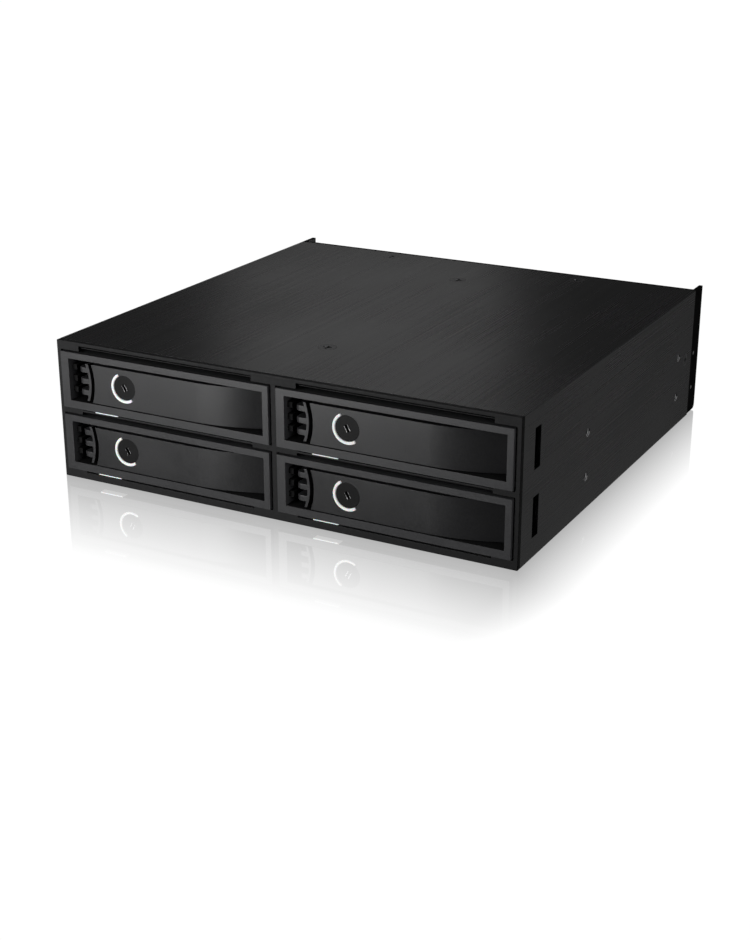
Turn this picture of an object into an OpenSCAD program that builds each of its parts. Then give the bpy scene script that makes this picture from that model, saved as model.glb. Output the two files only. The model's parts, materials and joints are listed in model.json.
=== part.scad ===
// Four-bay 2.5-inch drive enclosure for one half-height 5.25-inch PC bay.
// X runs to the right, Y to the rear and Z up. The origin is under the middle of the whole
// object, on the plane that it rests on. The modules below are written in case coordinates,
// whose Y starts at the bezel's front face, and in_case() moves them into the object's frame.

/* [Case] */
// Width across the sides
case_w = 146; // [145.6:0.1:147]
// Height of the case
case_h = 42; // [41.8:0.1:42.6]
// Length from the front face to the cover's rear edge
case_l = 140; // [139:0.5:150]
// Thickness of the cover's sheet
cover_t = 1.0; // [0.8:0.1:1.0]
// Thickness of the base pan and shelves
pan_t = 0.8; // [0.6:0.1:0.8]
// Thickness of the front bezel
bezel_t = 1.6; // [1.2:0.1:2.0]
// How far the rear wings stand behind the cover
wing_l = 7.3; // [4:0.1:10]
// Thickness of the rear panel's sheet
rear_t = 1.2; // [1.0:0.1:1.5]

/* [Trays] */
// Width of a tray's front frame
tray_w = 70; // [69.9:0.05:70.1]
// Height of a tray's front frame
tray_h = 16.85; // [16.7:0.05:16.9]
// Height of the lower trays' front frames above the base
row_z = 3.0; // [2.9:0.1:3.1]
// Distance from one row of trays to the next
row_pitch = 19.15; // [19.1:0.05:19.2]
// Distance from the middle of the case to the nearer edge of a tray
tray_inset = 1.25; // [1.2:0.05:1.3]
// How far the front frames stand proud of the bezel
tray_proud = 0.8; // [0.4:0.1:1.2]
// How far the drive bay reaches behind the front face
drive_end = 110; // [109:0.5:111]

/* [Levers and locks] */
// Angle that the lever's curved-in end reaches
lever_slope = 20; // [18:0.5:20.5]
// Radius of the lock plug
lock_r = 3.68; // [3.4:0.02:3.7]
// How far the latch comb's teeth stand apart
tooth_pitch = 3.4; // [3.3:0.05:3.5]

/* [Mounting] */
// Distance from the front face to the first side holes
side_hole_y = 47.4; // [46:0.1:49]
// Distance from the first side holes to the second ones
side_hole_pitch = 79.25; // [79.0:0.05:79.5]
// Radius of the side and base mounting holes
mount_hole_r = 1.25; // [1.2:0.05:1.4]
// Side length of a fan's frame
fan_w = 35; // [34:0.5:35]

/* [Hidden] */
$fn = 48;
half_w = case_w / 2;
inner_w = half_w - cover_t;
inner_h = case_h - cover_t;
rear_y = case_l + wing_l;
centre_y = (rear_y - tray_proud) / 2;
gap = 0.02;
eps = 1;

// One entry per tray: its name, column and row.
TRAYS = [["ul", 0, 1], ["ur", 1, 1], ["ll", 0, 0], ["lr", 1, 0]];
TRAY_PARTS = ["face", "sled", "light_bar", "latch", "lever", "hinge_pin", "lock_plug", "light_ring"];

// Front frame of a tray: its window, and how deep its pocket and its back are
win_left = 2.6;
win_right = 68.2;
win_low = 2.3;
win_high = 15;
pocket_y = 7.3;
face_y = 8.4;
stake_x = [16, 46];
stake_z = 9;
rib_front = 1;
rib_end = 4.2;

// Lever: plan outline, hinge and shell
lever_front = 0.3 - tray_proud;
lever_t = 1.6;
bend_x = 45;
bend_r = 54;
pin_x = 65.6;
knuckle_r = 1.7;
pin_r = 0.75;
run_gap = 0.05;
bend_end = [bend_x + bend_r * sin(lever_slope), lever_front + bend_r * (1 - cos(lever_slope))];
pin_y = bend_end[1] + (pin_x - bend_end[0]) * tan(lever_slope) + knuckle_r / cos(lever_slope);
lever_low = 2.5;
lever_high = 14.1;
flange_x = [14.6, 57];

// Latch: bowed bar and comb, in the tray's own coordinates
bow_x = -6;
bow_z = 8.4;
bow_r = 16.2;
bow_t = 0.9;
bow_gap = 1.2;
latch_front = -0.4;
latch_back = 4.9;
carriage_back = 7.0;
tooth_x = 5.9;
tooth_end = 9.5;
hook_x = [11.6, 12.4];
tooth_h = 1.6;
TOOTH_Z = [for (k = [0:2]) 4.5 + k * tooth_pitch];

// Lock: its centre, light guide and tongue
lock_x = 21.9;
lock_z = 8.75;
ring_in = 3.78;
ring_out = 4.5;
ring_from = 124;
ring_to = 300;
ring_end = 7;
ring_back = 0.7;
tongue_l = 7;
tongue_y = [4.9, 5.9];

// Light bar under a front frame, and the stalk that leads back from it
bar_x = [11.25, 19.1];
bar_z = [-0.3, 0.45];
stalk_x = [14.2, 16.2];
stalk_y = [1.2, 2.2];

// Drive space in a tray, with the drive's own bottom screw pattern
drive_rest = 1.9;
plate_z = [0.3, 1.3];
sled_end = 104;
drive_hole_x = 61.72;
drive_hole_y = [drive_end - 90.6, drive_end - 14];

// Board, rear and fans
board_y = [117, 118.6];
riser_z = [20, 21.6];
fan_x = 51;
fan_z = 21;
fan_y = 130;
fan_hole = 14.5;
fan_bore_r = 16.6;
hub_r = 8.5;
case_screw_at = [[0, 30], [0, 116.3], [-34.3, 134.9], [34.3, 134.9]];
head_r = 2.65;
head_h = 1.3;
shank_r = 1.25;
side_screw_at = [134, 20.5];
side_head_r = 2.25;
side_shank_r = 0.9;
side_hole_z = [9.9, 23.1];
base_hole_x = 69.85;
rivet_at = [[142.3, 8.9], [142.3, 20.6]];
rivet_r = 0.6;
slot_y = [9, 12.8];
slot_z = [2.8, 14.3];
notch_upper = 1.95;
notch_lower = 1.15;
sill_upper = 0.2;
sill_lower = 0.55;
lip_z = [40.1, 40.4];
shelf_drop = 1.45;
fold_w = 5;
fold_t = 1;
bracket_y = [129.5, 139];
bracket_z = 26;
tab_x = [30.3, 38.3];
tab_y = 130;
wing_z = 0.4;
wing_r = 1.5;
board_z = [2.4, 39.5];
notch_w = 2.6;
pin_head = 1.4;

// ---- Helpers ----

module box(low, high) translate(low) cube(high - low);

// An outline drawn in X and Z, as a plate from y0 to y1.
module plate_xz(y0, y1) translate([0, y1, 0]) rotate([90, 0, 0]) linear_extrude(y1 - y0) children();

module rod_y(x, z, y0, y1, r) translate([x, y0, z]) rotate([-90, 0, 0]) cylinder(h = y1 - y0, r = r);

module rod_x(y, z, x0, x1, r) translate([x0, y, z]) rotate([0, 90, 0]) cylinder(h = x1 - x0, r = r);

module in_case() translate([0, -centre_y, 0]) children();

// A tray's own coordinates start at its front frame's lower left corner.
module in_tray(t) in_case()
    translate([t[1] == 0 ? -tray_inset - tray_w : tray_inset, 0, row_z + t[2] * row_pitch]) children();

// A mirrored pair, one on each side of the case.
module pair() {
    children();
    mirror([1, 0, 0]) children();
}

// A countersunk cross-head screw pointing down from z = 0, with grow as clearance all round.
module flat_screw(head, shank, length, grow = 0) {
    translate([0, 0, -head_h]) cylinder(h = head_h, r1 = shank + grow, r2 = head + grow);
    translate([0, 0, -length]) cylinder(h = length - head_h, r = shank + grow);
}

module cross_recess(size, depth) for (a = [0, 90]) rotate(a)
    box([-size / 2, -size / 8, -depth], [size / 2, size / 8, eps]);

// ---- Case ----

module at_case_screws() {
    for (p = case_screw_at) translate([p[0], p[1], case_h]) children();
    for (p = case_screw_at) translate([p[0], p[1], 0]) mirror([0, 0, 1]) children();
}

module case_screws() color("#3a3a3c") in_case() at_case_screws() difference() {
    flat_screw(head_r, shank_r, 3.5);
    cross_recess(2.8, 0.8);
}

module case_screw_holes() at_case_screws() {
    flat_screw(head_r, shank_r, 4, gap);
    cylinder(h = eps, r = head_r + gap);
}

module at_side_screws() pair() translate([half_w, side_screw_at[0], side_screw_at[1]]) rotate([0, 90, 0])
    children();

module side_screws() color("#3a3a3c") in_case() at_side_screws() difference() {
    flat_screw(side_head_r, side_shank_r, 2);
    cross_recess(2.2, 0.6);
}

module side_screw_holes() at_side_screws() {
    flat_screw(side_head_r, side_shank_r, 2.2, gap);
    cylinder(h = eps, r = side_head_r + gap);
}

// The two ejector slots beside a column of trays, cut through a wall at x.
module ejector_slots(x) for (t = [0, 1])
    box([x - 2, slot_y[0], row_z + t * row_pitch + slot_z[0]],
        [x + 2, slot_y[1], row_z + t * row_pitch + slot_z[1]]);

module side_holes() for (k = [0, 1], z = side_hole_z)
    rod_x(side_hole_y + k * side_hole_pitch, z, inner_w - eps, half_w + eps, mount_hole_r);

module cover() color("#2a2a2b") in_case() difference() {
    union() {
        box([-half_w, bezel_t, inner_h], [half_w, case_l, case_h]);
        pair() box([inner_w, bezel_t, 0], [half_w, case_l, inner_h]);
    }
    ejector_slots(half_w);
    pair() side_holes();
    case_screw_holes();
    side_screw_holes();
}

// Opening for a tray, a little larger than its front frame, with vent notches above and below it.
open_side = 0.45;
open_end = 0.35;
notch_x = [6, 64.2];
module tray_opening(t, notch, sill) translate([t[1] == 0 ? -tray_inset - tray_w : tray_inset, 0, 0])
    translate([0, 0, row_z + t[2] * row_pitch]) {
        box([-open_side, -eps, -open_end], [tray_w + open_side, bezel_t + eps, tray_h + open_end]);
        box([notch_x[0], -eps, tray_h], [notch_x[1], bezel_t + eps, tray_h + notch]);
        box([notch_x[0], -eps, -open_end - sill], [notch_x[1], bezel_t + eps, 0]);
    }

module bezel() color("#2a2a2b") in_case() {
    difference() {
        box([-half_w, 0, 0], [half_w, bezel_t, case_h]);
        for (t = TRAYS) {
            if (t[2] == 1) tray_opening(t, notch_upper, sill_upper);
            if (t[2] == 0) tray_opening(t, notch_lower, sill_lower);
        }
    }
    // a thin lip across each upper notch
    pair() box([tray_inset + notch_x[0] - 0.2, bezel_t - 0.7, lip_z[0]],
        [tray_inset + notch_x[1] + 0.2, bezel_t, lip_z[1]]);
}

module base_pan() color("#37373a") in_case() difference() {
    union() {
        box([-inner_w, bezel_t, 0], [inner_w, case_l, pan_t]);
        pair() box([inner_w - pan_t, bracket_y[0], pan_t], [inner_w, bracket_y[1], bracket_z]);
    }
    case_screw_holes();
    side_screw_holes();
    pair() for (k = [0, 1]) translate([base_hole_x, side_hole_y + k * side_hole_pitch, -eps])
        cylinder(h = pan_t + 2 * eps, r = mount_hole_r);
}

module board_screw_spots() for (x = [-3, 3], z = [9, 33]) translate([x, 0, z]) children();

module centre_wall() color("#37373a") in_case() difference() {
    union() {
        box([-0.5, bezel_t, pan_t], [0.5, board_y[0] - fold_t, inner_h]);
        box([-fold_w, bezel_t, inner_h - fold_t], [fold_w, 120, inner_h]);
        box([-fold_w, bezel_t, pan_t], [fold_w, 120, pan_t + fold_t]);
        box([-fold_w, board_y[0] - fold_t, pan_t], [fold_w, board_y[0], inner_h]);
    }
    ejector_slots(0);
    case_screw_holes();
    board_screw_spots() rod_y(0, 0, 114, 118, 1.2 + gap);
}

// Sheet between the two rows of trays, with narrow air slots.
module shelf() color("#37373a") in_case() difference() {
    shelf_z = row_z + row_pitch - shelf_drop;
    box([0.5, 3, shelf_z], [inner_w, 116, shelf_z + pan_t]);
    for (k = [0:4], y = [20, 56]) translate([16 + k * 10, y, 0])
        box([-2.5, 0, 0], [2.5, 28, case_h]);
}

module shelf_right() shelf();

module shelf_left() mirror([1, 0, 0]) shelf();

// Low plastic strips that the sleds run on, two under each tray.
module guide_rails() color("#d8d8d4") for (t = TRAYS, x = [8, 58]) in_tray(t) {
    floor_z = t[2] == 0 ? pan_t - row_z : pan_t - shelf_drop;
    box([x, 3, floor_z], [x + 4, sled_end, 0]);
}

// ---- Board and connectors ----

// Middle of a drive's connector across its tray
socket_x = 30.2;

module backplane() color("#1d4a2c") in_case() difference() {
    box([-71, board_y[0], board_z[0]], [71, board_y[1], board_z[1]]);
    // notches clear of the middle case screws
    for (z = board_z) box([-notch_w, board_y[0] - eps, z - 1.5], [notch_w, board_y[1] + eps, z + 1.5]);
    board_screw_spots() rod_y(0, 0, 116, 120, 1.2 + gap);
    pair() for (k = [0:3], z = [14.5, 33.5]) translate([14 + k * 13, 0, z])
        box([0, 116, 0], [9, 120, 3.6]);
}

module drive_socket(t) color("#141414") in_tray(t) difference() {
    box([socket_x - 20, drive_end, drive_rest + 0.5], [socket_x + 20, board_y[0], 8.2]);
    box([socket_x - 17, drive_end - eps, 4.6], [socket_x - 4.6, drive_end + 5, 6.6]);
    box([socket_x - 3.2, drive_end - eps, 4.6], [socket_x + 17, drive_end + 5, 6.6]);
}

module port_board() color("#1d4a2c") in_case()
    box([-29, board_y[1], riser_z[0]], [29, 138.5, riser_z[1]]);

module board_chips() color("#161616") in_case() {
    box([-22, board_y[1], riser_z[1]], [22, 122.5, riser_z[1] + 3]);
    pair() box([40, board_y[1], 24], [50, board_y[1] + 1.2, 31]);
    for (x = [-24, -8, 8, 24]) translate([x, 126.5, riser_z[1]]) cylinder(h = 4.5, r = 2);
    pair() rod_y(34, 9, board_y[1], board_y[1] + 5, 2.5);
}

// A shrouded connector open to the rear, with its contact tongue.
module port(x, z, w, h, tongue_w) translate([x, 0, z]) difference() {
    box([-w / 2, 130, 0], [w / 2, case_l + rear_t + 0.3, h]);
    difference() {
        box([-w / 2 + 1, 134, 1.2], [w / 2 - 1, case_l + 4, h - 1.2]);
        box([-tongue_w / 2, 133, h / 2 - 0.6], [tongue_w / 2, case_l + 0.6, h / 2 + 0.6]);
    }
}

DATA_X = [-21, -7, 7, 21];
module data_ports() color("#171717") in_case() for (x = DATA_X) port(x, riser_z[1], 13, 6, 9.6);

POWER_X = [-14, 14];
module power_ports() color("#171717") in_case() for (x = POWER_X) port(x, riser_z[0] - 6, 24, 6, 20.4);

module board_screws() color("#8a8a88") in_case() board_screw_spots() difference() {
    union() {
        rod_y(0, 0, board_y[1], board_y[1] + pin_head, 2.2);
        rod_y(0, 0, 115, board_y[1], 1.2);
    }
    translate([0, board_y[1] + pin_head, 0]) rotate([-90, 0, 0]) cross_recess(2.2, 0.7);
}

// ---- Rear ----

GRILLE = [5.5, 9.1, 12.7];
module fan_grille() for (r = GRILLE) difference() {
    circle(r + 2.4);
    circle(r);
    for (a = [45, 135]) rotate(a) square([60, 2], center = true);
}

module rear_panel() color("#121213") in_case() difference() {
    union() {
        box([-half_w, case_l, wing_z], [half_w, case_l + rear_t, case_h]);
        pair() difference() {
            box([half_w - rear_t, case_l, wing_z], [half_w, rear_y, case_h]);
            box([0, rear_y - wing_r, -eps], [half_w + eps, rear_y + eps, wing_z + wing_r]);
        }
        pair() rod_x(rear_y - wing_r, wing_z + wing_r, half_w - rear_t, half_w, wing_r);
        pair() box([tab_x[0], tab_y, inner_h - fold_t], [tab_x[1], case_l, inner_h]);
        pair() box([tab_x[0], tab_y, pan_t], [tab_x[1], case_l, pan_t + fold_t]);
    }
    case_screw_holes();
    pair() for (p = rivet_at) rod_x(p[0], p[1], half_w - rear_t - eps, half_w + eps, rivet_r + gap);
    pair() translate([fan_x, 0, fan_z]) {
        plate_xz(case_l - eps, case_l + rear_t + eps) fan_grille();
        for (x = [-fan_hole, fan_hole], z = [-fan_hole, fan_hole])
            rod_y(x, z, case_l - eps, case_l + rear_t + eps, 1.4 + gap);
    }
    for (x = DATA_X) box([x - 6.6, case_l - eps, riser_z[1] - 0.1], [x + 6.6, case_l + 3, riser_z[1] + 6.1]);
    for (x = POWER_X) box([x - 12.1, case_l - eps, riser_z[0] - 6.1], [x + 12.1, case_l + 3, riser_z[0] + 0.1]);
    box([-4.3, case_l - eps, 33.8], [4.3, case_l + 3, 35.7]);
}

module wing_rivets() color("#8a8a88") in_case() pair()
    for (p = rivet_at) rod_x(p[0], p[1], half_w - rear_t, half_w, rivet_r);

module fan_frame() color("#1b1b1c") in_case() translate([fan_x, 0, fan_z]) {
    difference() {
        box([-fan_w / 2, fan_y, -fan_w / 2], [fan_w / 2, case_l, fan_w / 2]);
        rod_y(0, 0, fan_y - eps, case_l + eps, fan_bore_r);
        for (x = [-fan_hole, fan_hole], z = [-fan_hole, fan_hole])
            rod_y(x, z, fan_y - eps, case_l + eps, 1.6);
    }
    // motor mount: a disc on three arms, and the shaft that carries the rotor
    rod_y(0, 0, case_l - 1.2, case_l, hub_r);
    intersection() {
        rod_y(0, 0, case_l - 1.2, case_l, fan_bore_r + 0.3);
        for (a = [90, 210, 330]) rotate([0, a, 0]) box([0, case_l - 1.2, -1], [fan_bore_r + 1, case_l, 1]);
    }
    rod_y(0, 0, fan_y + 2.5, case_l - 1.2, 0.9);
}

module fan_frame_right() fan_frame();

module fan_frame_left() mirror([1, 0, 0]) fan_frame();

BLADES = 7;
module fan_rotor() color("#242426") in_case() translate([fan_x, fan_y, fan_z]) rotate([-90, 0, 0]) {
    difference() {
        union() {
            translate([0, 0, 1]) cylinder(h = 7.3, r = hub_r);
            intersection() {
                difference() {
                    translate([0, 0, 1.2]) cylinder(h = 6.9, r = fan_bore_r - 0.5);
                    cylinder(h = 20, r = hub_r - 0.3);
                }
                for (k = [0:BLADES - 1]) rotate(k * 360 / BLADES) translate([12, 0, 4.6])
                    rotate([40, 0, 0]) box([-5, -6, -0.45], [6, 6, 0.45]);
            }
        }
        translate([0, 0, 2.3]) cylinder(h = 20, r = 0.9 + run_gap);
    }
}

module fan_rotor_right() fan_rotor();

module fan_rotor_left() translate([-2 * fan_x, 0, 0]) fan_rotor();

module fan_screws() color("#3a3a3c") in_case() pair() translate([fan_x, 0, fan_z])
    for (x = [-fan_hole, fan_hole], z = [-fan_hole, fan_hole]) difference() {
        union() {
            rod_y(x, z, case_l + rear_t, case_l + rear_t + pin_head, 2.3);
            rod_y(x, z, fan_y + 2, case_l + rear_t, 1.4);
        }
        translate([x, case_l + rear_t + pin_head, z]) rotate([-90, 0, 0]) cross_recess(2.4, 0.7);
    }

module fan_switch() color("#161616") in_case() difference() {
    box([-6, 134, 31.8], [6, case_l, 37.7]);
    box([-4.3, 137, 33.8], [4.3, case_l + eps, 35.7]);
}

module switch_slider() color("#e6e6e2") in_case() box([-4, 137.3, 34.1], [-1.8, case_l + rear_t + 1, 35.4]);

// ---- Trays ----

// Part of a flat ring between two angles.
module arc_band(r_in, r_out, from, to) intersection() {
    difference() {
        circle(r_out);
        circle(r_in);
    }
    polygon(concat([[0, 0]], [for (k = [0:6]) let (a = from + k * (to - from) / 6) 12 * [cos(a), sin(a)]]));
}

// Outline of the white light guide round the lower left of the lock, with round ends.
module ring_outline() {
    arc_band(ring_in, ring_out, ring_from, ring_to);
    for (a = [ring_from, ring_to]) translate((ring_in + ring_out) / 2 * [cos(a), sin(a)])
        circle((ring_out - ring_in) / 2);
}

module light_bar_shape(grow = 0) {
    g = [grow, grow, grow];
    box([bar_x[0], -tray_proud + 0.05, bar_z[0]] - g, [bar_x[1], stalk_y[1], bar_z[1]] + g);
    box([stalk_x[0], stalk_y[0], bar_z[0]] - g, [stalk_x[1], stalk_y[1], plate_z[1]] + g);
    box([stalk_x[0], stalk_y[0], plate_z[0]] - g, [stalk_x[1], sled_end - 1, plate_z[1]] + g);
}

module light_bar(t) color("#f2f2f0") in_tray(t) light_bar_shape();

// Ribs on the left wall of a front frame's pocket, in line with the latch's teeth.
module pocket_ribs() for (z = TOOTH_Z)
    box([win_left - 0.5, rib_front, z], [rib_end, pocket_y + 0.5, z + tooth_h]);

module face(t) color("#2c2c2e") in_tray(t) {
    pocket_ribs();
    difference() {
        union() {
            box([0, -tray_proud, 0], [tray_w, face_y, tray_h]);
            for (x = stake_x) rod_y(x, stake_z, face_y, face_y + 1, 1);
        }
        box([win_left, -tray_proud - eps, win_low], [win_right, pocket_y, win_high]);
        // air slots behind the latch and behind the lever
        for (z = TOOTH_Z) box([rib_end + 0.4, pocket_y - eps, z + 0.3], [11, face_y + eps, z + 1.3]);
        for (k = [0:3]) box([24 + k * 8, pocket_y - eps, 4], [30 + k * 8, face_y + eps, 6.5]);
        // room for the lever's ejector tooth, the hinge pin and the lock's tongue
        box([63.5, 4, 6.6], [tray_w + eps, face_y + eps, 10.4]);
        translate([pin_x, pin_y, 1.2]) cylinder(h = tray_h - 2.4, r = pin_r + gap);
        box([lock_x - 2.2, tongue_y[0] - 0.3, 1.3], [lock_x + 3.6, tongue_y[1] + 0.3, win_low + eps]);
        light_bar_shape(gap);
    }
}

module sled(t) color("#343436") in_tray(t) difference() {
    union() {
        box([0.2, face_y, plate_z[0]], [tray_w - 0.2, sled_end, plate_z[1]]);
        for (x = [0.2, tray_w - 1]) box([x, face_y, plate_z[0]], [x + 0.8, sled_end, drive_rest - 0.1]);
        box([4, face_y, plate_z[0]], [60, face_y + 0.8, 12]);
        for (x = [-0.5, 0.5], y = drive_hole_y) translate([tray_w / 2 + x * drive_hole_x, y, plate_z[0]])
            cylinder(h = drive_rest - plate_z[0], r = 3);
    }
    for (x = [-0.5, 0.5], y = drive_hole_y) translate([tray_w / 2 + x * drive_hole_x, y, plate_z[0]]) {
        translate([0, 0, -eps]) cylinder(h = 2 * eps + drive_rest, r = 1.6);
        cylinder(h = 1, r1 = 2.7, r2 = 1.6);
        translate([0, 0, -eps]) cylinder(h = eps, r = 2.7);
    }
    for (k = [0:4], y = [24, 62]) box([19 + k * 8, y, -eps], [23 + k * 8, y + 30, 3]);
    for (x = stake_x) rod_y(x, stake_z, face_y - eps, face_y + 2, 1 + gap);
    for (k = [0:2]) box([20 + k * 8, face_y - eps, 4], [26 + k * 8, face_y + 2, 6.5]);
    light_bar_shape(gap);
}

module hinge_pin(t) color("#9a9a98") in_tray(t)
    translate([pin_x, pin_y, 1.3]) cylinder(h = tray_h - 2.6, r = pin_r);

// Plan outline of a tooth: flat in front, falling away towards its free end.
TOOTH_PLAN = [
    [tooth_end, latch_front], [7.3, latch_front], [6.5, latch_front + 0.25], [tooth_x, latch_front + 0.9],
    [tooth_x, latch_back], [tooth_end, latch_back]
];

// Comb, bowed thumb bar and the carriage that slides behind them.
module latch(t) color("#2f2f31") in_tray(t) {
    for (z = TOOTH_Z) translate([0, 0, z]) linear_extrude(tooth_h) polygon(TOOTH_PLAN);
    plate_xz(latch_front, latch_back) intersection() {
        translate([bow_x, bow_z]) difference() {
            circle(bow_r);
            circle(bow_r - bow_t);
        }
        translate([5, 2.8]) square([8, 11.2]);
    }
    box([6.6, latch_back, 4], [hook_x[1], carriage_back, 12.8]);
    box([hook_x[0], 2.4, 6], [hook_x[1], latch_back, 10.8]);
}

// Plan outline of the lever's shell: flat, then bending in towards the hinge.
function bend_point(r, a) = [bend_x + r * sin(a), lever_front + bend_r - r * cos(a)];
function knuckle_point(r) = [pin_x + r * sin(lever_slope), pin_y - r * cos(lever_slope)];
BEND_STEPS = 20;
BEND = [for (k = [0:BEND_STEPS]) k * lever_slope / BEND_STEPS];
LEVER_PLAN = concat(
    [[9, lever_front]],
    [for (a = BEND) bend_point(bend_r, a)],
    [knuckle_point(knuckle_r), knuckle_point(knuckle_r - lever_t)],
    [for (k = [0:BEND_STEPS]) bend_point(bend_r - lever_t, BEND[BEND_STEPS - k])],
    [[9, lever_front + lever_t]]
);

module lever(t) color("#2e2e30") in_tray(t) difference() {
    union() {
        translate([0, 0, lever_low]) linear_extrude(lever_high - lever_low) {
            polygon(LEVER_PLAN);
            translate([pin_x, pin_y]) circle(knuckle_r);
        }
        // stiffening flanges, catch and lock boss on the back, and the ejector tooth
        for (z = [lever_low, lever_high - 1])
            box([flange_x[0], lever_front + lever_t, z], [flange_x[1], lever_front + lever_t + 1.5, z + 1]);
        box([flange_x[0], lever_front + lever_t, 6.4], [flange_x[0] + 1, 3.4, 10.4]);
        rod_y(lock_x, lock_z, lever_front + lever_t, 4.6, 5.2);
        translate([pin_x, pin_y, 7]) rotate(15) box([0, -0.8, 0], [3.5, 0.8, 3]);
    }
    rod_y(bow_x, bow_z, lever_front - eps, 8, bow_r + bow_gap);
    rod_y(lock_x, lock_z, lever_front - eps, 8, lock_r + run_gap);
    translate([pin_x, pin_y, lever_low - eps]) cylinder(h = lever_high, r = pin_r + run_gap);
    translate([lock_x, 0, lock_z]) plate_xz(lever_front - eps, ring_back)
        arc_band(lock_r, ring_out + gap, ring_from - ring_end, ring_to + ring_end);
}

module light_ring(t) color("#f4f4f2") in_tray(t)
    translate([lock_x, 0, lock_z]) plate_xz(lever_front - 0.1, ring_back) ring_outline();

// Key plug with its tongue, which lies along the lever when unlocked.
module lock_plug(t) color("#1e1e20") in_tray(t) translate([lock_x, 0, lock_z]) difference() {
    union() {
        rod_y(0, 0, lever_front + 0.1, tongue_y[0], lock_r);
        rod_y(0, 0, tongue_y[0], tongue_y[1], 2.2);
        box([0, tongue_y[0], -1.5], [tongue_l, tongue_y[1], 1.5]);
    }
    rotate([0, -118, 0]) box([-1.05, lever_front - eps, -0.3], [1.05, 3, 0.3]);
}

// ---- The nodes ----

cover();
bezel();
base_pan();
centre_wall();
shelf_left();
shelf_right();
guide_rails();
backplane();
port_board();
board_chips();
data_ports();
power_ports();
board_screws();
rear_panel();
wing_rivets();
case_screws();
side_screws();
fan_screws();
fan_frame_left();
fan_frame_right();
fan_rotor_left();
fan_rotor_right();
fan_switch();
switch_slider();
for (t = TRAYS) {
    drive_socket(t);
    face(t);
    sled(t);
    light_bar(t);
    latch(t);
    lever(t);
    hinge_pin(t);
    lock_plug(t);
    light_ring(t);
}
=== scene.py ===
import json
import math

import bmesh
import bpy
from mathutils import Matrix, Vector

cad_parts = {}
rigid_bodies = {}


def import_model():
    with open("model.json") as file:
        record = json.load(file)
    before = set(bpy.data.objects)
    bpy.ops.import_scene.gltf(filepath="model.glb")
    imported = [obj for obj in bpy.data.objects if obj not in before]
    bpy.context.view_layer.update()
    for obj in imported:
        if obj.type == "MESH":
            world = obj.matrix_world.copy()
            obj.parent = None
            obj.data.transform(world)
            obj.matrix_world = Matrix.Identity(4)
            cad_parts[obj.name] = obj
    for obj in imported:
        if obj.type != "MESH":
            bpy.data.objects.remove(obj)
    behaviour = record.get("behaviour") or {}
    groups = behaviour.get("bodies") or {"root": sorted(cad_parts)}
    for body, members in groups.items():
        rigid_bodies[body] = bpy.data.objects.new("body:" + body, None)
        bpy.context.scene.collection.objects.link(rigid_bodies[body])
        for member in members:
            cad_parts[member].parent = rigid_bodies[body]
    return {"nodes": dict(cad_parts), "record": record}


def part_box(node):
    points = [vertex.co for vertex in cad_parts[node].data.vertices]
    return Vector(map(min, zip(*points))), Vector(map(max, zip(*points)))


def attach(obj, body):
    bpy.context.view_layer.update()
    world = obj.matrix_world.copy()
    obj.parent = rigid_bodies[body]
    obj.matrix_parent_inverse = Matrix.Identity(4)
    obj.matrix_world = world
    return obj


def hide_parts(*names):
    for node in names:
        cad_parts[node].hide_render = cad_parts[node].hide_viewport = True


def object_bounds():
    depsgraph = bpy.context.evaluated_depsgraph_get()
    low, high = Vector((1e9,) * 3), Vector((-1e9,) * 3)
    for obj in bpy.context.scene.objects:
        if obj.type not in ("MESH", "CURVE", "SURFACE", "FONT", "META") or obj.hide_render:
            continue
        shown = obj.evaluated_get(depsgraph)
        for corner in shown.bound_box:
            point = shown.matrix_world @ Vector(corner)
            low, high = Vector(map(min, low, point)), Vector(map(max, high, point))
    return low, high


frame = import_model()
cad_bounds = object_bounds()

MM = 0.001
TRAYS = ("ul", "ur", "ll", "lr")
NODES = frame["nodes"]
BODY_OF = {n: b for b, members in frame["record"]["behaviour"]["bodies"].items() for n in members}
SLOT_OF = {s["node"]: s["material_slot"] for s in frame["record"]["subparts"]}
LINK = bpy.context.scene.collection.objects.link

# meshes: how near points are welded, how flat faces are merged, what counts as an edge
WELD_DISTANCE = 0.001 * MM
FLAT_ANGLE = math.radians(0.5)
BEVEL_ANGLE = math.radians(35)
SHARP_ANGLE = math.radians(40)

# lock plug: its radius, and the lean, half width and half size of the bright strips painted as highlights
# along its key slot's edges
LOCK_RADIUS = 3.68 * MM
SLOT_LEAN = 28
SLOT_HALF_WIDTH = 0.52 * MM
SLOT_HIGHLIGHT_REACH = (0.07, 0.05, 1.0)

# a tray front's pocket, whose walls and ribs are painted darker as shade: the rims around it, and how far
# behind the front its walls start
POCKET_SIDE = 2.7 * MM
POCKET_RIM = 2.0 * MM
POCKET_START = 1.0 * MM

# thread in a side hole: its radius, the ridge's height, its pitch and turns, its start in the sheet
THREAD_RADIUS = 1.24 * MM
THREAD_DEPTH = 0.16 * MM
THREAD_PITCH = 0.4 * MM
THREAD_TURNS = 2
THREAD_STEPS = 28
THREAD_INSET = 0.9 * MM

# gold contacts in the sockets and ports
CONTACT_WIDTH = 0.6 * MM

# drive socket: its upper wall, each slot's first contact and number of contacts, their pitch,
# where they start and end behind the socket's mouth, and their thickness
SOCKET_ROOF = 4.2 * MM
SOCKET_ROWS = ((-16.2, 9), (-2.4, 15))
SOCKET_PITCH = 1.27
SOCKET_CONTACT_START = 0.6 * MM
SOCKET_CONTACT_END = 4.8 * MM
SOCKET_CONTACT_THICKNESS = 0.25 * MM

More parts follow.
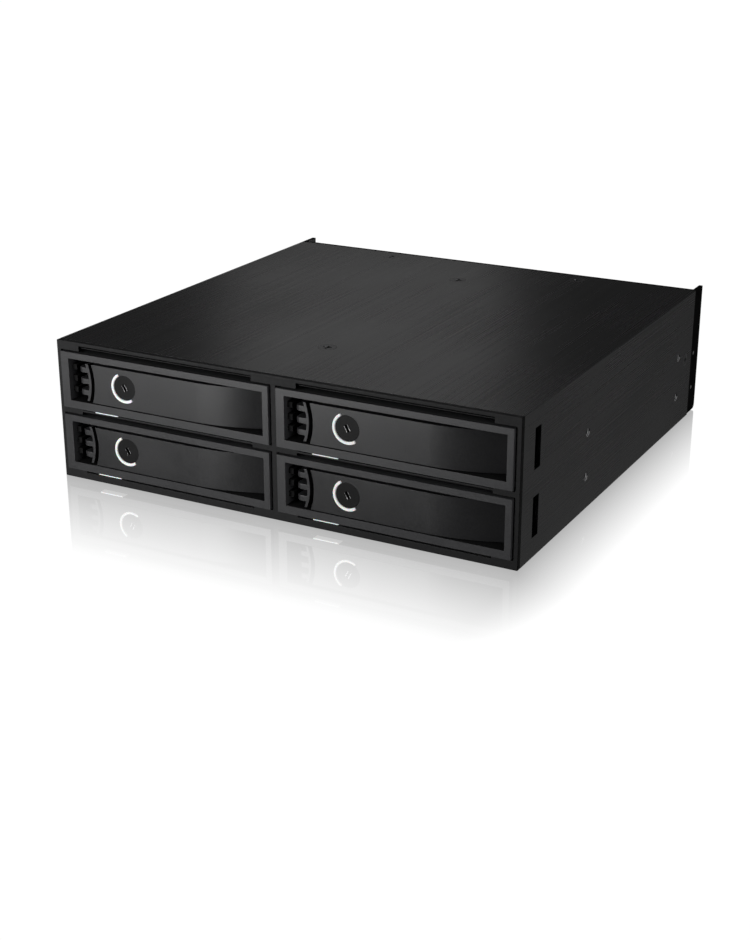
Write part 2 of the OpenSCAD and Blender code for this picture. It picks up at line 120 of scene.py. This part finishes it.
# rear ports: the places along X, the width of the tongue and the number of contacts of each kind
PORT_CONTACTS = (("data_ports", (-21, -7, 7, 21), 8.6, 7), ("power_ports", (-14, 14), 19.0, 15))
PORT_RECESS = 1.5 * MM
PORT_CONTACT_LENGTH = 5 * MM
PORT_CONTACT_THICKNESS = 0.1 * MM
TONGUE_HALF = 0.58 * MM

# the pieces that two of the lamps light, by how their names start
RIM_PIECES = ("face_", "side_holes_", "side_screws", "case_screws")
REAR_PIECES = ("rear_panel", "fan_", "data_ports", "power_ports", "switch_slider", "port_board")

# surroundings: white just over full white, and a floor whose gloss fades away from the object,
# faster along X than along Y, over a distance in metres
WHITE = 1.02
FLOOR_GLOSS = 0.55
FLOOR_FADE = 0.045
FLOOR_STEEPNESS = (2.5, 1.0)


# ---- Shader helpers ----

class Shader:
    """A small wrapper that adds nodes to one material and links them."""

    def __init__(self, name):
        self.material = bpy.data.materials.new(name)
        self.material.use_nodes = True
        self.tree = self.material.node_tree
        self.bsdf = self.tree.nodes["Principled BSDF"]
        self.place = self.node("ShaderNodeTexCoord").outputs["Object"]

    def node(self, kind, **values):
        made = self.tree.nodes.new(kind)
        for key, value in values.items():
            setattr(made, key, value)
        return made

    def link(self, source, target):
        self.tree.links.new(source, target)

    def set(self, **values):
        for key, value in values.items():
            self.bsdf.inputs[key.replace("_", " ")].default_value = value

    def scaled(self, scale):
        """The object's coordinates, stretched by a scale for each axis, per metre."""
        mapping = self.node("ShaderNodeMapping")
        self.link(self.place, mapping.inputs["Vector"])
        mapping.inputs["Scale"].default_value = scale
        return mapping.outputs["Vector"]

    def noise(self, scale, detail=4.0, roughness=0.5):
        """Noise with its own cells per metre along X, Y and Z."""
        made = self.node("ShaderNodeTexNoise")
        self.link(self.scaled(scale), made.inputs["Vector"])
        made.inputs["Scale"].default_value = 1.0
        made.inputs["Detail"].default_value = detail
        made.inputs["Roughness"].default_value = roughness
        return made.outputs["Fac"]

    def spread(self, source, low, high, start=0.3, end=0.7):
        """Source remapped from start..end to low..high, and held there."""
        made = self.node("ShaderNodeMapRange")
        self.link(source, made.inputs["Value"])
        made.inputs["From Min"].default_value = start
        made.inputs["From Max"].default_value = end
        made.inputs["To Min"].default_value = low
        made.inputs["To Max"].default_value = high
        return made.outputs["Result"]

    def math(self, operation, a, b):
        made = self.node("ShaderNodeMath", operation=operation)
        for socket, value in zip(made.inputs, (a, b)):
            if isinstance(value, float):
                socket.default_value = value
            else:
                self.link(value, socket)
        return made.outputs["Value"]

    def mix(self, amount, low, high):
        """Colour from low to high by amount. The colour sockets share their names with others,
        so they are taken by number."""
        made = self.node("ShaderNodeMix", data_type="RGBA")
        self.link(amount, made.inputs["Factor"])
        for socket, colour in ((made.inputs[6], low), (made.inputs[7], high)):
            if isinstance(colour, tuple):
                socket.default_value = (*colour, 1.0)
            else:
                self.link(colour, socket)
        return made.outputs[2]

    def edges(self, radius):
        """1 on convex and concave edges within radius, 0 on flats. The materials use it to lighten edges:
        partly wear, partly painted highlights.
        """
        bevel = self.node("ShaderNodeBevel", samples=4)
        bevel.inputs["Radius"].default_value = radius
        flat = self.node("ShaderNodeNewGeometry").outputs["Normal"]
        dot = self.node("ShaderNodeVectorMath", operation="DOT_PRODUCT")
        self.link(bevel.outputs["Normal"], dot.inputs[0])
        self.link(flat, dot.inputs[1])
        return self.spread(dot.outputs["Value"], 1.0, 0.0, 0.7, 0.995)

    def colour(self, source):
        self.link(source, self.bsdf.inputs["Base Color"])

    def rough(self, source):
        self.link(source, self.bsdf.inputs["Roughness"])

    def bump(self, source, depth, strength=1.0):
        """Bump of a height in metres."""
        made = self.node("ShaderNodeBump")
        made.inputs["Strength"].default_value = strength
        made.inputs["Distance"].default_value = depth
        self.link(source, made.inputs["Height"])
        self.link(made.outputs["Normal"], self.bsdf.inputs["Normal"])


def tint(colour, gain):
    return tuple(c * gain for c in colour)


# ---- Materials ----

def brushed_anodised(name, colour, roughness):
    """Black anodised metal with fine brush lines that run along the depth."""
    s = Shader(name)
    s.set(Metallic=0.5, Specular_IOR_Level=0.5)
    fine = s.noise((5200, 22, 5200), 3.0, 0.6)
    broad = s.noise((900, 7, 900), 3.0, 0.5)
    cloud = s.noise((28, 16, 28), 3.0, 0.5)
    lines = s.math("ADD", s.math("MULTIPLY", fine, 0.6), s.math("MULTIPLY", broad, 0.4))
    base = s.mix(s.spread(lines, 0.0, 1.0, 0.36, 0.64), tint(colour, 0.82), tint(colour, 1.22))
    # lighter edges: partly wear, partly painted highlights along the rounded edges
    worn_and_highlit = s.math("MULTIPLY", s.edges(0.35 * MM), 0.35)
    s.colour(s.mix(worn_and_highlit, base, tint(colour, 2.2)))
    s.rough(s.math("ADD", s.spread(lines, -0.05, 0.05), s.spread(cloud, roughness - 0.03, roughness + 0.03)))
    s.bump(lines, 0.012 * MM, 0.6)
    return s.material


def moulded(name, colour, roughness, grain=2600.0, depth=0.012, edge_wear_and_highlight=0.3, shine=0.5):
    """Moulded plastic: a fine spark-eroded grain, slight colour clouds and lighter edges, partly wear and
    partly painted highlights.
    """
    s = Shader(name)
    s.set(Specular_IOR_Level=shine)
    grains = s.noise((grain, grain, grain), 3.0, 0.6)
    cloud = s.noise((90, 60, 90), 4.0, 0.55)
    mottled = s.mix(s.spread(grains, 0.0, 1.0), tint(colour, 0.86), tint(colour, 1.14))
    base = s.mix(s.math("MULTIPLY", s.spread(cloud, 0.0, 1.0), 0.3), mottled, tint(colour, 1.15))
    # lighter edges: partly wear, partly painted highlights along the rounded edges
    s.colour(s.mix(s.math("MULTIPLY", s.edges(0.18 * MM), edge_wear_and_highlight), base, tint(colour, 1.9)))
    s.rough(s.math("ADD", s.spread(grains, -0.05, 0.05), s.spread(cloud, roughness - 0.03, roughness + 0.03)))
    s.bump(grains, depth * MM, 0.7)
    return s.material


def coated_steel(name, colour, roughness, shine=0.5):
    """Satin powder coat: a shallow orange peel over a fine speckle."""
    s = Shader(name)
    s.set(Metallic=0.1, Specular_IOR_Level=shine, Coat_Weight=0.1 * shine, Coat_Roughness=0.35)
    peel = s.noise((900, 900, 900), 2.0, 0.45)
    speck = s.noise((4200, 4200, 4200), 2.0, 0.6)
    base = s.mix(s.spread(speck, 0.0, 1.0), tint(colour, 0.85), tint(colour, 1.2))
    # lighter edges: partly wear, partly painted highlights along the rounded edges
    s.colour(s.mix(s.math("MULTIPLY", s.edges(0.2 * MM), 0.35), base, tint(colour, 2.4)))
    s.rough(s.spread(peel, roughness - 0.05, roughness + 0.06))
    s.bump(peel, 0.02 * MM, 0.5)
    return s.material


def plated(name, colour, roughness, metallic=1.0, shine=0.5):
    """Plated or blackened metal with turning marks and slight tarnish."""
    s = Shader(name)
    s.set(Metallic=metallic, Specular_IOR_Level=shine)
    marks = s.noise((2400, 2400, 2400), 4.0, 0.6)
    cloud = s.noise((260, 260, 260), 3.0, 0.5)
    base = s.mix(s.spread(cloud, 0.0, 1.0), tint(colour, 0.8), tint(colour, 1.15))
    # lighter edges: partly wear, partly painted highlights along the rounded edges
    s.colour(s.mix(s.math("MULTIPLY", s.edges(0.12 * MM), 0.4), base, tint(colour, 1.8)))
    s.rough(s.spread(marks, roughness - 0.07, roughness + 0.09))
    s.bump(marks, 0.006 * MM, 0.6)
    return s.material


def milky(name, colour):
    """Milky light-guide plastic: translucent, smooth, with faint flow marks, and a painted glow of its own
    colour.
    """
    s = Shader(name)
    s.set(Roughness=0.3, Coat_Weight=0.3, Coat_Roughness=0.15)
    s.set(Subsurface_Weight=0.35, Subsurface_Scale=0.8 * MM)
    # painted glow: the light guide gives off light of its own colour, though it is no lamp
    s.bsdf.inputs["Emission Color"].default_value = (*colour, 1.0)
    s.set(Emission_Strength=0.28)
    flow = s.noise((500, 500, 500), 3.0, 0.5)
    s.colour(s.mix(s.spread(flow, 0.0, 1.0), tint(colour, 0.95), colour))
    s.bump(flow, 0.004 * MM, 0.5)
    return s.material


def solder_mask(name, colour):
    """Green solder mask over copper tracks: a fine maze of straight lines, a little lighter."""
    s = Shader(name)
    s.set(Coat_Weight=0.5, Coat_Roughness=0.12)
    bricks = s.node("ShaderNodeTexBrick", offset=0.37, squash=1.6, squash_frequency=3)
    s.link(s.scaled((420, 420, 420)), bricks.inputs["Vector"])
    bricks.inputs["Scale"].default_value = 1.0
    bricks.inputs["Mortar Size"].default_value = 0.07
    for key, gain in (("Color1", 1.0), ("Color2", 0.85), ("Mortar", 1.9)):
        bricks.inputs[key].default_value = (*tint(colour, gain), 1.0)
    weave = s.noise((1800, 1800, 1800), 2.0, 0.5)
    s.colour(s.mix(s.math("MULTIPLY", weave, 0.25), bricks.outputs["Color"], tint(colour, 0.6)))
    s.rough(s.spread(weave, 0.32, 0.45))
    s.bump(bricks.outputs["Fac"], 0.02 * MM, 0.6)
    return s.material


MATERIALS = {
    "black_anodised": brushed_anodised("black_anodised_brushed", (0.034, 0.034, 0.035), 0.26),
    "bezel_black": coated_steel("black_bezel_finish", (0.0125, 0.0125, 0.013), 0.6, shine=0.24),
    "rear_black": coated_steel("matt_black_rear", (0.003, 0.003, 0.003), 0.75, shine=0.1),
    "black_steel": coated_steel("black_powder_coat", (0.008, 0.008, 0.0083), 0.5, shine=0.3),
    "tray_plastic": moulded("black_moulded_tray", (0.026, 0.026, 0.0275), 0.38, shine=0.56),
    "light_guide": milky("milky_light_guide", (0.86, 0.86, 0.85)),
    "lock_metal": plated("black_lock_metal", (0.007, 0.007, 0.0073), 0.45, metallic=0.05, shine=0.19),
    "black_screw": plated("black_zinc_screw", (0.075, 0.075, 0.078), 0.3, metallic=0.7),
    "bright_steel": plated("plated_steel", (0.5, 0.5, 0.51), 0.3),
    "board": solder_mask("green_solder_mask", (0.012, 0.07, 0.03)),
    "connector_plastic": moulded("black_connector_plastic", (0.012, 0.012, 0.012), 0.4,
                                 grain=1800.0, depth=0.008),
    "fan_plastic": moulded("black_fan_plastic", (0.016, 0.016, 0.017), 0.45, grain=1500.0),
    "natural_plastic": moulded("natural_nylon", (0.66, 0.65, 0.6), 0.38, grain=900.0, depth=0.01, edge_wear_and_highlight=0.1),
}
LEVER_PLASTIC = moulded("black_moulded_lever", (0.016, 0.016, 0.017), 0.35, shine=0.6)
# painted shade: a darker, matt plastic for the walls and ribs deep in the tray fronts' pockets
POCKET_PAINTED_SHADE = moulded("matt_black_pocket", (0.005, 0.005, 0.0052), 0.7, shine=0.12)
TAPPED_METAL = plated("bare_tapped_metal", (0.78, 0.78, 0.79), 0.4, metallic=0.15)
GOLD = plated("gold_contacts", (0.83, 0.6, 0.24), 0.25)


# ---- Mesh helpers ----

def add_object(name, bm, material, body, smooth=True):
    """Turns a bmesh into a piece of the object that rides on a body."""
    mesh = bpy.data.meshes.new(name)
    bm.to_mesh(mesh)
    bm.free()
    piece = bpy.data.objects.new(name, mesh)
    LINK(piece)
    mesh.materials.append(material)
    if smooth:
        mesh.shade_smooth()
    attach(piece, body)
    return piece


def apply(piece, modifier):
    """Makes a modifier's result part of the mesh."""
    with bpy.context.temp_override(object=piece, active_object=piece, selected_objects=[piece]):
        bpy.ops.object.modifier_apply(modifier=modifier.name)


def bevelled(piece, width, segments):
    """Rounds a piece's edges for good, by applying the modifiers to its mesh."""
    bevel = piece.modifiers.new("edges", "BEVEL")
    bevel.width = width
    bevel.segments = segments
    bevel.limit_method = "ANGLE"
    bevel.angle_limit = BEVEL_ANGLE
    bevel.harden_normals = True
    bevel.use_clamp_overlap = True
    bevel.miter_outer = "MITER_ARC"
    apply(piece, bevel)
    piece.data.set_sharp_from_angle(angle=SHARP_ANGLE)
    weighted = piece.modifiers.new("normals", "WEIGHTED_NORMAL")
    weighted.keep_sharp = True
    weighted.weight = 100
    apply(piece, weighted)
    return piece


def surface_area(mesh):
    """The area of all the faces of a mesh."""
    mesh.calc_loop_triangles()
    return sum(triangle.area for triangle in mesh.loop_triangles)


def rounded_copy(node, width, segments, material, merge):
    """A bevelled copy of a node's mesh, with its flat faces merged first if merge is true."""
    bm = bmesh.new()
    bm.from_mesh(NODES[node].data)
    bmesh.ops.remove_doubles(bm, verts=bm.verts, dist=WELD_DISTANCE)
    if merge:
        bmesh.ops.dissolve_limit(bm, angle_limit=FLAT_ANGLE, verts=bm.verts, edges=bm.edges)
    slot = SLOT_OF[node]
    piece = add_object(node + "_edged", bm, material or MATERIALS[slot], BODY_OF[node])
    return bevelled(piece, width, segments)


def edged(node, width, segments=2, material=None):
    """A piece that stands for a CAD node: the same solid with its edges rounded.
    Rounding must make the surface smaller. Where it doesn't, the faces crossed, and the copy is dropped."""
    whole = surface_area(NODES[node].data)
    for merge in (True, False):
        piece = rounded_copy(node, width, segments, material, merge)
        if surface_area(piece.data) < whole:
            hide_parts(node)
            return piece
        bpy.data.objects.remove(piece)
    return None


def paint_pocket_shade(piece, low, high):
    """Gives the walls and ribs inside a tray front's window a darker, matt finish: the darkness is painted
    shade of the recess, not a different plastic.
    """
    piece.data.materials.append(POCKET_PAINTED_SHADE)
    for face in piece.data.polygons:
        middle = piece.matrix_world @ face.center
        across = low.x + POCKET_SIDE < middle.x < high.x - POCKET_SIDE
        up = low.z + POCKET_RIM < middle.z < high.z - POCKET_RIM
        if across and up and middle.y > low.y + POCKET_START:
            face.material_index = 1


# ---- The pieces ----

def finish_nodes():
    """Gives every CAD node its material, and the visible ones rounded edges."""
    for name, node in NODES.items():
        node.data.materials.clear()
        node.data.materials.append(MATERIALS[SLOT_OF[name]])
    edged("cover", 0.25 * MM, 3)
    edged("bezel", 0.12 * MM, 2, MATERIALS["bezel_black"])
    edged("rear_panel", 0.15 * MM, 2, MATERIALS["rear_black"])
    for node in ("case_screws", "side_screws", "fan_screws"):
        edged(node, 0.06 * MM)
    for node in ("fan_switch", "switch_slider", "data_ports", "power_ports"):
        edged(node, 0.12 * MM)
    for tray in TRAYS:
        face = edged("face_" + tray, 0.2 * MM, 3)
        if face:
            # the walls and ribs inside the front's pocket get painted shade
            paint_pocket_shade(face, *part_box("face_" + tray))
        edged("lever_" + tray, 0.15 * MM, 3, LEVER_PLASTIC)
        edged("latch_" + tray, 0.15 * MM)
        edged("light_ring_" + tray, 0.1 * MM)
        edged("lock_plug_" + tray, 0.1 * MM)
        edged("sled_" + tray, 0.12 * MM)


def merge_parts(name, parts, material, body, smooth=True):
    """One piece from several small bmeshes."""
    whole = bmesh.new()
    for part in parts:
        mesh = bpy.data.meshes.new("part")
        part.to_mesh(mesh)
        part.free()
        whole.from_mesh(mesh)
        bpy.data.meshes.remove(mesh)
    return add_object(name, whole, material, body, smooth)


def block(low, high, turn=None, about=None):
    """A box between two corners, turned by a matrix about a point if one is given."""
    bm = bmesh.new()
    size = Vector(high) - Vector(low)
    bmesh.ops.create_cube(bm, size=1.0, matrix=Matrix.Translation((Vector(low) + Vector(high)) / 2)
                          @ Matrix.Diagonal((*size, 1)))
    if turn is not None:
        bmesh.ops.rotate(bm, verts=bm.verts, cent=about, matrix=turn)
    return bm


def add_key_slot_highlights():
    """Two bright metal strips along each lock's key slot: painted highlights on its edges."""
    for tray in TRAYS:
        low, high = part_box("lock_plug_" + tray)
        middle = Vector((low.x + LOCK_RADIUS, low.y, (low.z + high.z) / 2))
        lean = Matrix.Rotation(math.radians(SLOT_LEAN), 3, "Y")
        edges = []
        for side in (-1, 1):
            centre = middle + Vector((side * SLOT_HALF_WIDTH, 0, 0))
            reach = Vector(SLOT_HIGHLIGHT_REACH) * MM
            edges.append(block(centre - reach, centre + reach, lean.inverted(), middle))
        # painted highlights: bright metal strips where the key slot's edges catch the light
        piece = merge_parts("key_slot_edges_" + tray, edges, MATERIALS["bright_steel"], "lock_" + tray,
                            False)
        bevelled(piece, 0.03 * MM, 1)


def add_threads():
    """Tapped threads in the side mounting holes: a bare metal ridge winding through the sheet."""
    for mount in frame["record"]["mounts"]:
        if not mount["name"].startswith("side_holes"):
            continue
        wall = mount["pos_m"][0]
        side = math.copysign(1, wall)
        parts = []
        for a in (-0.5, 0.5):
            for b in (-0.5, 0.5):
                y = mount["pos_m"][1] + a * mount["dims"]["spacing_x_mm"] * MM
                z = mount["pos_m"][2] + b * mount["dims"]["spacing_y_mm"] * MM
                parts.append(thread(wall - side * THREAD_INSET, side, y, z))
        merge_parts(mount["name"] + "_threads", parts, TAPPED_METAL, BODY_OF["cover"])


def thread(start, side, y, z):
    """A triangular ridge on a helix along X."""
    bm = bmesh.new()
    half_foot = 0.225 * THREAD_PITCH
    rings = []
    for k in range(THREAD_TURNS * THREAD_STEPS + 1):
        angle = 2 * math.pi * k / THREAD_STEPS
        along = start + side * THREAD_PITCH * k / THREAD_STEPS
        ring = []
        for inward, shift in ((0, -half_foot), (THREAD_DEPTH, 0), (0, half_foot)):
            reach = THREAD_RADIUS - inward
            spot = (along + side * shift, y + reach * math.cos(angle), z + reach * math.sin(angle))
            ring.append(bm.verts.new(spot))
        rings.append(ring)
    for a, b in zip(rings, rings[1:]):
        for k in range(3):
            bm.faces.new((a[k], a[(k + 1) % 3], b[(k + 1) % 3], b[k]))
    bm.faces.new(rings[0])
    bm.faces.new(rings[-1][::-1])
    bmesh.ops.recalc_face_normals(bm, faces=bm.faces)
    return bm


def add_socket_contacts():
    """Rows of gold contacts on the upper wall of each drive socket's two slots."""
    for tray in TRAYS:
        low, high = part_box("drive_socket_" + tray)
        middle = (low.x + high.x) / 2
        roof = low.z + SOCKET_ROOF
        parts = []
        for first, count in SOCKET_ROWS:
            for k in range(count):
                x = middle + (first + k * SOCKET_PITCH) * MM
                near = (x, low.y + SOCKET_CONTACT_START, roof - SOCKET_CONTACT_THICKNESS)
                far = (x + CONTACT_WIDTH, low.y + SOCKET_CONTACT_END, roof)
                parts.append(block(near, far))
        merge_parts("socket_contacts_" + tray, parts, GOLD, BODY_OF["drive_socket_" + tray],
                    False)


def add_port_contacts():
    """Gold fingers on the tongues of the rear data and power ports."""
    for node, places, width, count in PORT_CONTACTS:
        low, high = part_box(node)
        tongue_top = (low.z + high.z) / 2 + TONGUE_HALF
        back = high.y - PORT_RECESS
        half = CONTACT_WIDTH / 2
        parts = []
        for place in places:
            for k in range(count):
                x = (place - width / 2 + (k + 0.5) * width / count) * MM
                near = (x - half, back - PORT_CONTACT_LENGTH, tongue_top)
                far = (x + half, back, tongue_top + PORT_CONTACT_THICKNESS)
                parts.append(block(near, far))
        merge_parts(node + "_contacts", parts, GOLD, BODY_OF[node], False)


# ---- Stage, light and camera ----

CAMERA_PLACE = Vector((220.55, -427.54, 175.58)) * MM
CAMERA_AZIMUTH = 28.11
CAMERA_ELEVATION = 21.11
CAMERA_LENS = 62.14


def towards(azimuth, elevation):
    """Unit vector from the object; azimuth 0 is the front, 90 the right side."""
    a, e = math.radians(azimuth), math.radians(elevation)
    return Vector((math.sin(a) * math.cos(e), -math.cos(a) * math.cos(e), math.sin(e)))


def add_camera():
    data = bpy.data.cameras.new("camera")
    data.sensor_width = 36
    data.lens = CAMERA_LENS
    data.clip_start = 0.01
    camera = bpy.data.objects.new("camera", data)
    camera.location = CAMERA_PLACE
    camera.rotation_euler = (math.radians(90 - CAMERA_ELEVATION), 0, math.radians(CAMERA_AZIMUTH))
    LINK(camera)
    bpy.context.scene.camera = camera


def floor_material():
    """White with a gloss that fades with distance from the object's footprint."""
    s = Shader("white_glossy_floor")
    parts = s.node("ShaderNodeSeparateXYZ")
    s.link(s.place, parts.inputs["Vector"])
    squares = []
    for k, steepness in enumerate(FLOOR_STEEPNESS):
        half = (cad_bounds[1][k] - cad_bounds[0][k]) / 2
        beyond = s.math("MAXIMUM", s.math("SUBTRACT", s.math("ABSOLUTE", parts.outputs[k], 0.0), half), 0.0)
        squares.append(s.math("POWER", s.math("MULTIPLY", beyond, steepness), 2.0))
    distance = s.math("SQRT", s.math("ADD", squares[0], squares[1]), 0.0)
    glow = s.node("ShaderNodeEmission")
    glow.inputs["Strength"].default_value = WHITE
    gloss = s.node("ShaderNodeBsdfGlossy")
    gloss.inputs["Roughness"].default_value = 0.04
    blend = s.node("ShaderNodeMixShader")
    s.link(s.spread(distance, FLOOR_GLOSS, 0.0, 0.0, FLOOR_FADE), blend.inputs["Fac"])
    s.link(glow.outputs[0], blend.inputs[1])
    s.link(gloss.outputs[0], blend.inputs[2])
    s.link(blend.outputs[0], s.tree.nodes["Material Output"].inputs["Surface"])
    return s.material


def add_floor():
    """A plane that shows white to the camera but lets the lamps below it reach the object."""
    mesh = bpy.data.meshes.new("floor")
    size = 30.0
    corners = [(-size, -size, 0), (size, -size, 0), (size, size, 0), (-size, size, 0)]
    mesh.from_pydata(corners, [], [(0, 1, 2, 3)])
    mesh.materials.append(floor_material())
    floor = bpy.data.objects.new("floor", mesh)
    floor.visible_diffuse = False
    floor.visible_glossy = False
    floor.visible_transmission = False
    floor.visible_shadow = False
    LINK(floor)


def softbox(name, place, target, size, radiance, only=()):
    """A soft panel of a given brightness, aimed at a point. It lights everything, or only the objects
    whose names start in one of the given ways."""
    data = bpy.data.lights.new(name, "AREA")
    data.shape = "RECTANGLE"
    data.size, data.size_y = size
    data.energy = radiance * math.pi * size[0] * size[1]
    light = bpy.data.objects.new(name, data)
    light.location = place
    light.rotation_euler = (Vector(target) - Vector(place)).to_track_quat("-Z", "Y").to_euler()
    light.visible_camera = False
    LINK(light)
    if only:
        receivers = bpy.data.collections.new(name + "_receivers")
        for piece in bpy.data.objects:
            if piece.type == "MESH" and piece.name.startswith(only):
                receivers.objects.link(piece)
        light.light_linking.receiver_collection = receivers


def add_world():
    """A dim fill for the object that looks white to the camera past the edge of the floor."""
    world = bpy.data.worlds.new("studio")
    world.use_nodes = True
    tree = world.node_tree
    fill = tree.nodes["Background"]
    white = tree.nodes.new("ShaderNodeBackground")
    for background, strength in ((fill, 0.036), (white, WHITE)):
        background.inputs["Color"].default_value = (1, 1, 1, 1)
        background.inputs["Strength"].default_value = strength
    blend = tree.nodes.new("ShaderNodeMixShader")
    tree.links.new(tree.nodes.new("ShaderNodeLightPath").outputs["Is Camera Ray"], blend.inputs["Fac"])
    tree.links.new(fill.outputs[0], blend.inputs[1])
    tree.links.new(white.outputs[0], blend.inputs[2])
    tree.links.new(blend.outputs[0], tree.nodes["World Output"].inputs["Surface"])
    bpy.context.scene.world = world


def add_lights():
    centre = Vector((0, 0, 0.02))
    # tall panel behind, seen mirrored as a sheen down the middle of the top
    behind = Vector((CAMERA_PLACE.x, CAMERA_PLACE.y, 0)) - towards(CAMERA_AZIMUTH + 0.3, 0) * 2.1
    softbox("back_panel", behind + Vector((0, 0, 1.0)), behind * 0.2, size=(0.43, 1.3), radiance=0.305)
    # panel close to the front, seen mirrored in the front faces
    near = Vector((-0.168, -0.37, 0.100))
    softbox("front_panel", near, near + Vector((0, 1, 0)), size=(0.21, 0.29), radiance=6.4)
    # low panel towards the back, seen mirrored in the right side
    softbox("side_panel", centre + towards(140, -18) * 1.4, centre, size=(1.0, 0.7), radiance=0.165)
    # overhead panel, for the small shadows in the recesses
    softbox("top_panel", centre + towards(-10, 62) * 1.1, centre, size=(0.5, 0.5), radiance=1.6)
    # small panel at the right that picks out the rims of the tray fronts, the threads and the screws
    softbox("rim_panel", (0.30, -0.20, 0.05), (0, -0.07, 0.02), (0.16, 0.16), 6.0, RIM_PIECES)
    # low panels for the back and the left side, under the line of the top
    softbox("rear_panel_light", (0, 0.7, -0.22), (0, 0, 0.02), (0.12, 0.4), 22.0, REAR_PIECES)
    softbox("left_panel", (-1.1, 0.25, -0.22), (0, 0.25, 0.02), size=(0.5, 0.4), radiance=0.8)
    # white surround that only the floor mirrors
    for angle in range(0, 360, 90):
        turn = Matrix.Rotation(math.radians(angle), 3, "Z")
        place = turn @ Vector((0, 4, 2))
        softbox(f"surround_{angle}", place, turn @ Vector((0, 0, 2)), (8.1, 4), 1.2, ("floor",))


bpy.context.scene.view_settings.view_transform = "Standard"
finish_nodes()
add_key_slot_highlights()
add_threads()
add_socket_contacts()
add_port_contacts()
add_camera()
add_world()
add_floor()
add_lights()
